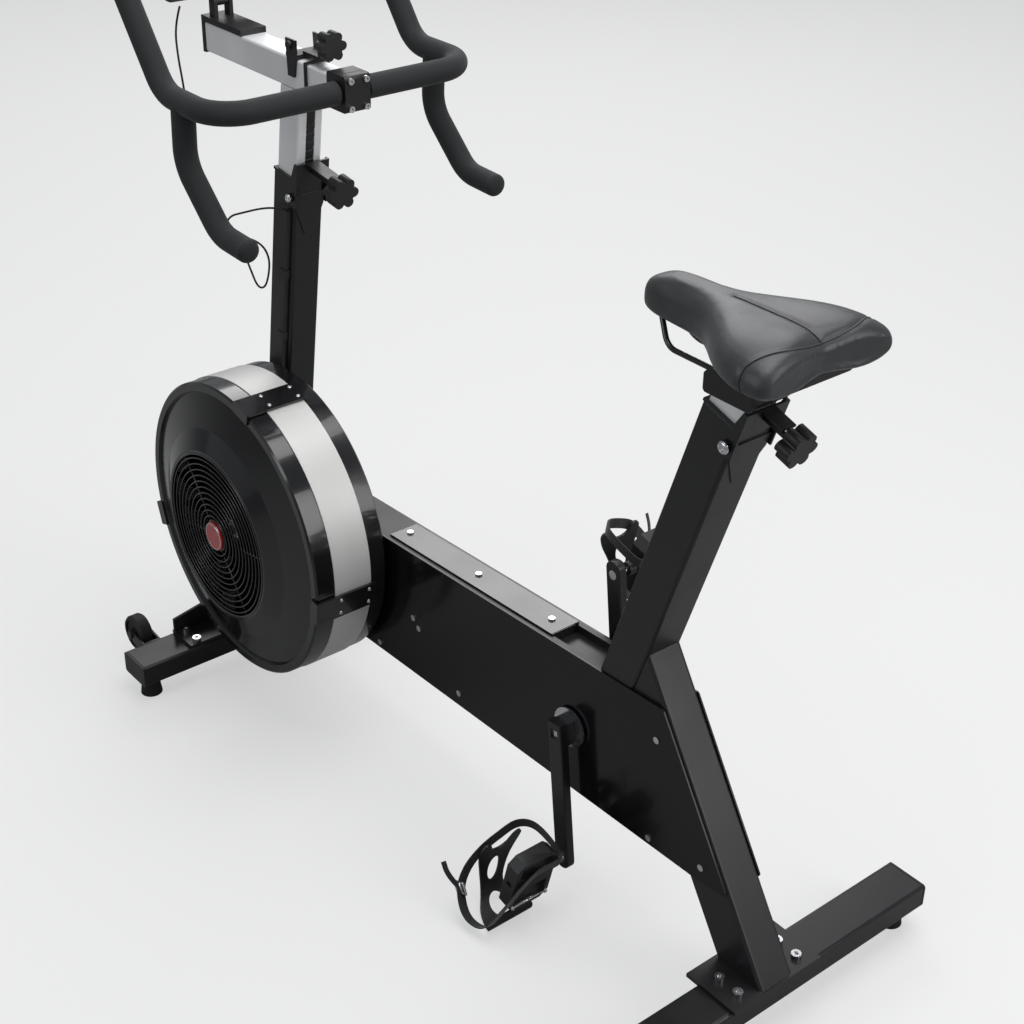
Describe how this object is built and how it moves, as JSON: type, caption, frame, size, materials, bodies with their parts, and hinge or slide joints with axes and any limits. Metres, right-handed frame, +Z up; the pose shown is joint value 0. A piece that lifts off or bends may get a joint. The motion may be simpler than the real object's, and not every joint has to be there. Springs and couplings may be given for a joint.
{
  "type": "exercise bike",
  "caption": "Upright air-resistance exercise bike with a side fan, belt drive, toe-clip pedals, adjustable saddle and multi-grip handlebar.",
  "frame": {"origin": "on the floor under the middle of the bike's bounding box", "axes": "+X towards the saddle, +Y towards the rider's right, +Z up"},
  "size_m": [1.3469, 0.61, 1.2234],
  "materials": {
    "frame_black": "satin black powder coat",
    "case_black": "gloss black",
    "plastic_black": "matte black",
    "tube_silver": "satin anodised",
    "band_silver": "satin",
    "steel": "bright",
    "foam": "matt foam",
    "rubber": "matt",
    "vinyl": "grained vinyl",
    "badge_red": "gloss red",
    "strap": "woven"
  },
  "bodies": {
    "root": {"rear_stabiliser": "frame_black", "front_stabiliser": "frame_black", "stabiliser_caps": "plastic_black", "rubber_feet": "rubber", "frame_fasteners": "steel", "rear_leg": "frame_black", "seat_tube": "frame_black", "main_beam": "frame_black", "front_bracket": "frame_black", "mast_tube": "frame_black", "cable_strip": "plastic_black", "tube_liners": "plastic_black", "top_cover": "case_black", "panel_left": "case_black", "panel_right": "case_black", "bearings": "steel", "fan_axle": "steel", "drive_belt": "rubber", "fan_cover_left": "case_black", "fan_cover_right": "case_black", "fan_band": "band_silver", "fan_grille": "plastic_black", "fan_badge": "badge_red", "fan_straps": "case_black", "wheel_forks": "frame_black"},
    "crank": {"crank_spindle": "steel", "crank_left": "frame_black", "crank_right": "frame_black", "drive_pulley": "steel", "pedal_axles": "steel"},
    "pedal_left": {"pedal_left": "plastic_black", "toe_clip_left": "plastic_black", "toe_strap_left": "strap"},
    "pedal_right": {"pedal_right": "plastic_black", "toe_clip_right": "plastic_black", "toe_strap_right": "strap"},
    "fan": {"fan_wheel": "plastic_black", "fan_pulley": "steel"},
    "wheel_left": {"transport_wheel_left": "rubber"},
    "wheel_right": {"transport_wheel_right": "rubber"},
    "mast": {"mast_post": "tube_silver", "mast_rack": "plastic_black", "top_tube": "tube_silver", "console_bracket": "plastic_black", "console_cable": "rubber"},
    "mast_latch": {"mast_latch": "frame_black"},
    "mast_knob": {"mast_knob": "plastic_black"},
    "slider": {"bar_slider": "tube_silver", "bar_clamp": "frame_black", "clamp_bolts": "steel"},
    "bar_knob": {"bar_knob": "plastic_black"},
    "handlebar": {"handlebar": "frame_black", "handlebar_foam": "foam"},
    "seat_post": {"seat_post": "tube_silver", "saddle_clamp": "frame_black"},
    "seat_latch": {"seat_latch": "frame_black"},
    "seat_knob": {"seat_knob": "plastic_black"},
    "saddle": {"saddle": "vinyl", "saddle_rails": "steel"},
    "console": {"console": "plastic_black"}
  },
  "joints": [
    {"name": "crank_spin", "type": "hinge", "parent": "root", "child": "crank", "pos_m": [0.2884, 0, 0.286], "axis": [0, 1, 0], "continuous": true},
    {"name": "pedal_left_spin", "type": "hinge", "parent": "crank", "child": "pedal_left", "pos_m": [0.31208, -0.126, 0.08439], "axis": [0, 1, 0], "continuous": true},
    {"name": "pedal_right_spin", "type": "hinge", "parent": "crank", "child": "pedal_right", "pos_m": [0.26472, 0.126, 0.48761], "axis": [0, 1, 0], "continuous": true},
    {"name": "fan_spin", "type": "hinge", "parent": "root", "child": "fan", "pos_m": [-0.3776, -0.105, 0.336], "axis": [0, 1, 0], "continuous": true},
    {"name": "wheel_left_spin", "type": "hinge", "parent": "root", "child": "wheel_left", "pos_m": [-0.5796, -0.252, 0.067], "axis": [0, 1, 0], "continuous": true},
    {"name": "wheel_right_spin", "type": "hinge", "parent": "root", "child": "wheel_right", "pos_m": [-0.5796, 0.252, 0.067], "axis": [0, 1, 0], "continuous": true},
    {"name": "mast_slide", "type": "slide", "parent": "root", "child": "mast", "axis": [0.1444, 0, 0.9895], "range_m": [-0.06, 0.1]},
    {"name": "mast_latch_hinge", "type": "hinge", "parent": "root", "child": "mast_latch", "pos_m": [-0.3801, 0, 0.85628], "axis": [0, 1, 0], "range_deg": [0, 12], "stiffness_Nm_per_rad": 1.2, "springref_deg": -28.65},
    {"name": "mast_knob_turn", "type": "hinge", "parent": "mast_latch", "child": "mast_knob", "pos_m": [-0.37404, 0, 0.89784], "axis": [0.9895, 0, -0.1444], "continuous": true},
    {"name": "bar_reach_slide", "type": "slide", "parent": "mast", "child": "slider", "axis": [1, 0, 0], "range_m": [-0.052, 0.06]},
    {"name": "bar_knob_hinge", "type": "hinge", "parent": "mast", "child": "bar_knob", "pos_m": [-0.3686, 0, 1.086], "axis": [0, 1, 0], "range_deg": [-10, 0], "stiffness_Nm_per_rad": 0.8, "springref_deg": 28.65},
    {"name": "handlebar_tilt", "type": "hinge", "parent": "slider", "child": "handlebar", "pos_m": [-0.2566, 0, 1.043], "axis": [0, 1, 0], "range_deg": [-15, 15]},
    {"name": "seat_post_slide", "type": "slide", "parent": "root", "child": "seat_post", "axis": [0.3107, 0, 0.9505], "range_m": [0, 0.16]},
    {"name": "seat_latch_hinge", "type": "hinge", "parent": "root", "child": "seat_latch", "pos_m": [0.53272, 0, 0.83016], "axis": [0, 1, 0], "range_deg": [0, 12], "stiffness_Nm_per_rad": 1.2, "springref_deg": -28.65},
    {"name": "seat_knob_turn", "type": "hinge", "parent": "seat_latch", "child": "seat_knob", "pos_m": [0.54577, 0, 0.87008], "axis": [0.9505, 0, -0.3107], "continuous": true},
    {"name": "saddle_slide", "type": "slide", "parent": "seat_post", "child": "saddle", "axis": [1, 0, 0], "range_m": [-0.014, 0.022]},
    {"name": "console_tilt", "type": "hinge", "parent": "mast", "child": "console", "pos_m": [-0.5956, 0, 1.098], "axis": [0, 1, 0], "range_deg": [-6, 12]}
  ],
  "couplings": [
    {"joint": "crank_spin", "follows": "fan_spin", "ratio": 0.2}
  ]
}
